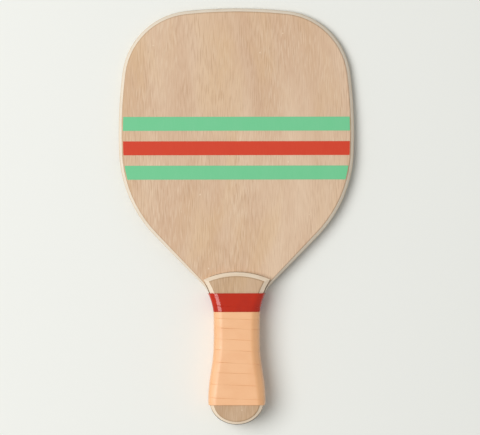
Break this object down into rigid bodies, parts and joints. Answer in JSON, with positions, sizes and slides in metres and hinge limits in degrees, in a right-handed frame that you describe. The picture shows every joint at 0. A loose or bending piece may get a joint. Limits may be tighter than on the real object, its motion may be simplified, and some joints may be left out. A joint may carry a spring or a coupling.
{
  "type": "beach game paddle",
  "caption": "Wooden beach game paddle: rounded plywood blade with printed stripes, bevelled handle scales, wound grip tape and a taped collar.",
  "frame": {"origin": "middle of the paddle's box on the surface it lies on, front face up", "axes": "+X across the blade, +Y from the butt of the handle to the crown of the blade, +Z out of the front face"},
  "size_m": [0.215, 0.38, 0.0258],
  "materials": {
    "face_veneer": "sanded, clear satin lacquer",
    "pale_ply": "sanded, clear satin lacquer",
    "core_ply": "sanded cut edge",
    "scale_veneer": "sanded, clear satin lacquer",
    "grip_tape": "satin, slightly tacky",
    "collar_tape": "glossy vinyl",
    "green_ink": "printed, satin",
    "red_ink": "printed, satin"
  },
  "bodies": {
    "root": {"core_ply": "core_ply", "front_crossband": "pale_ply", "back_crossband": "pale_ply", "front_face_veneer": "face_veneer", "back_face_veneer": "face_veneer", "front_stripe_upper": "green_ink", "front_stripe_middle": "red_ink", "front_stripe_lower": "green_ink", "back_stripe_upper": "green_ink", "back_stripe_middle": "red_ink", "back_stripe_lower": "green_ink", "front_scale_block": "pale_ply", "front_scale_veneer": "scale_veneer", "back_scale_block": "pale_ply", "back_scale_veneer": "scale_veneer", "grip_tape": "grip_tape", "collar_tape": "collar_tape"}
  },
  "joints": []
}
